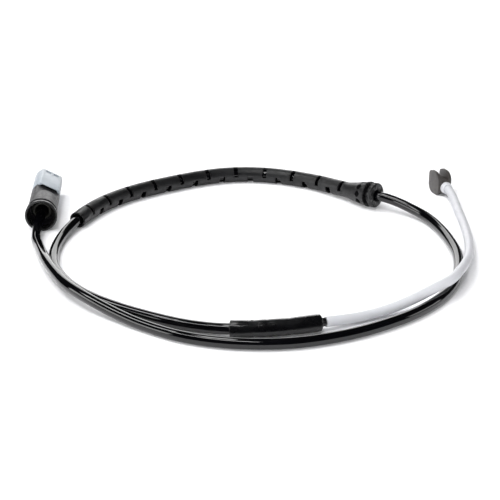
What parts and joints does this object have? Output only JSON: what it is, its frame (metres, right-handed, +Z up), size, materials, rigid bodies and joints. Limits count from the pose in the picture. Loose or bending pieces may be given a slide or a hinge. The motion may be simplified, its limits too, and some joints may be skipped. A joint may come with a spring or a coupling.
{
  "type": "brake pad wear sensor",
  "caption": "Coiled brake pad wear sensor: round keyed plug, black cable with slotted bend sleeve and panel grommet, splice, light lead and spool-shaped sensing head.",
  "frame": {"origin": "bottom centre of the box around the rigid pieces, on the surface that the coiled sensor lies on", "axes": "+Z up from that surface; the plug and the sensing head lie at the back, towards +Y, with the plug at -X and the head at +X; the splice lies at the front"},
  "size_m": [0.2097, 0.202, 0.015],
  "materials": {
    "plug_black": "satin moulded nylon",
    "seal_rubber": "matt silicone seal",
    "plug_light": "light grey satin moulding",
    "tinned_copper": "tin-plated copper",
    "brown_insulation": "extruded core insulation",
    "white_insulation": "extruded core insulation",
    "black_cable_jacket": "glossy extruded jacket",
    "sleeve_rubber": "matt moulded rubber",
    "shrink_tube": "satin shrink tube",
    "light_lead_jacket": "satin light grey jacket",
    "head_plastic": "matt heat-resistant moulding"
  },
  "bodies": {
    "root": {"plug_end_cap": "plug_black", "plug_seal_ring": "seal_rubber", "plug_body": "plug_black", "plug_cable_bush": "seal_rubber", "plug_housing": "plug_light", "plug_contact_lock": "plug_black", "plug_contact_1": "tinned_copper", "plug_contact_2": "tinned_copper", "plug_core_1": "brown_insulation", "plug_core_2": "white_insulation", "main_cable": "black_cable_jacket", "bend_sleeve": "sleeve_rubber", "splice_sleeve": "shrink_tube", "splice_crimp_1": "tinned_copper", "splice_crimp_2": "tinned_copper", "splice_core_1": "brown_insulation", "splice_core_2": "white_insulation", "lead_core_1": "white_insulation", "lead_core_2": "white_insulation", "sensor_lead": "light_lead_jacket", "lead_collar": "light_lead_jacket", "sensor_head": "head_plastic", "wear_loop": "tinned_copper"}
  },
  "joints": []
}
